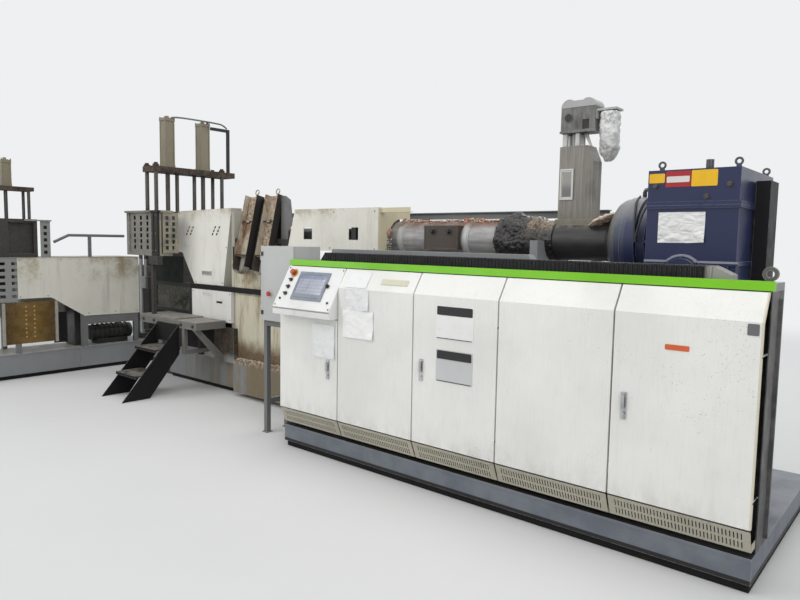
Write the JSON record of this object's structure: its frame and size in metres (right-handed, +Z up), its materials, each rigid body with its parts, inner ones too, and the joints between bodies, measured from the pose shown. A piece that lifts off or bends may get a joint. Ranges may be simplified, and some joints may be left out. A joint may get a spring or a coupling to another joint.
{
  "type": "plastic extruder",
  "caption": "Plastic extruder: barrel with gearbox and feed tower behind a cabinet with hinged doors, filter head with tie bars, work platform and a cross arm.",
  "frame": {"origin": "on the floor under the barrel's axis, half way along the control cabinet", "axes": "+X along the barrel towards the gearbox, -Y towards the operator, +Z up"},
  "size_m": [8.028, 2.94, 3.071],
  "materials": {
    "white": "semi-gloss off-white sheet",
    "grey": "worn grey paint",
    "carcass": "light grey sheet",
    "black": "matte black",
    "green": "bright green gloss",
    "vent": "dusty beige",
    "screen": "grey bezel with display",
    "button": "black knobs",
    "steel": "dull steel",
    "chrome": "worn chrome",
    "navy": "navy blue enamel",
    "bluegrey": "blue-grey enamel",
    "burnt": "burnt, melt-covered iron",
    "rust": "rusty plate",
    "stained": "stained off-white sheet",
    "dark": "dark grey steel",
    "khaki": "khaki painted steel",
    "galv": "galvanised sheet",
    "wrap": "crumpled whitish wrap",
    "amber": "amber panel"
  },
  "bodies": {
    "frame": {"base_frame": "grey", "plinth": "black", "cabinet_back": "carcass", "cabinet_deck": "grey", "cabinet_ends": "white", "cabinet_dividers": "carcass", "green_fascia": "green", "panel_2": "white", "panel_4": "white", "vent_bands": "vent", "hinge_pins": "steel", "console_body": "white", "console_screen": "screen", "console_buttons": "button", "cable_tray": "black", "barrel_cover": "steel", "terminal_box": "rust", "melt_collar": "burnt", "feed_barrel": "dark", "bearing_housing": "bluegrey", "gearbox_lower": "navy", "gearbox_upper": "navy", "gearbox_cap": "navy", "belt_guard": "dark", "drive_motor": "bluegrey", "barrel_stand": "grey", "feed_tower": "galv", "tower_head": "galv", "belt_cover": "galv", "crammer_motor": "wrap", "head_cover": "stained", "head_frame": "dark", "troughs": "rust", "slant_guard": "stained", "head_housing": "stained", "head_base": "grey", "head_panel": "stained", "perforated_guard": "galv", "filter_body": "dark", "top_plate": "rust", "tie_bars": "steel", "cylinders": "khaki", "work_platform": "dark", "stairs": "black", "ebox": "carcass", "ebox_stand": "grey", "rear_beam": "bluegrey", "arm_base": "grey", "arm_barrel": "dark", "arm_frame": "grey", "arm_cover": "stained", "arm_guard": "galv", "arm_screen": "amber"},
    "door_1": {"door_1": "white", "handle_1": "chrome"},
    "door_3": {"door_3": "white", "handle_3": "chrome"},
    "door_5": {"door_5": "white", "handle_5": "chrome"},
    "ebox_door": {"ebox_door": "carcass"}
  },
  "joints": [
    {"name": "door_1_hinge", "type": "hinge", "parent": "frame", "child": "door_1", "pos_m": [-1.682, -1.164, 0.7], "axis": [0, 0, -1], "range_deg": [0, 100]},
    {"name": "door_3_hinge", "type": "hinge", "parent": "frame", "child": "door_3", "pos_m": [0.282, -1.164, 0.8], "axis": [0, 0, 1], "range_deg": [0, 100]},
    {"name": "door_5_hinge", "type": "hinge", "parent": "frame", "child": "door_5", "pos_m": [1.682, -1.164, 0.8], "axis": [0, 0, 1], "range_deg": [0, 100]},
    {"name": "ebox_door_hinge", "type": "hinge", "parent": "frame", "child": "ebox_door", "pos_m": [-2.133, -1.012, 1.28], "axis": [0, 0, -1], "range_deg": [0, 110]}
  ]
}
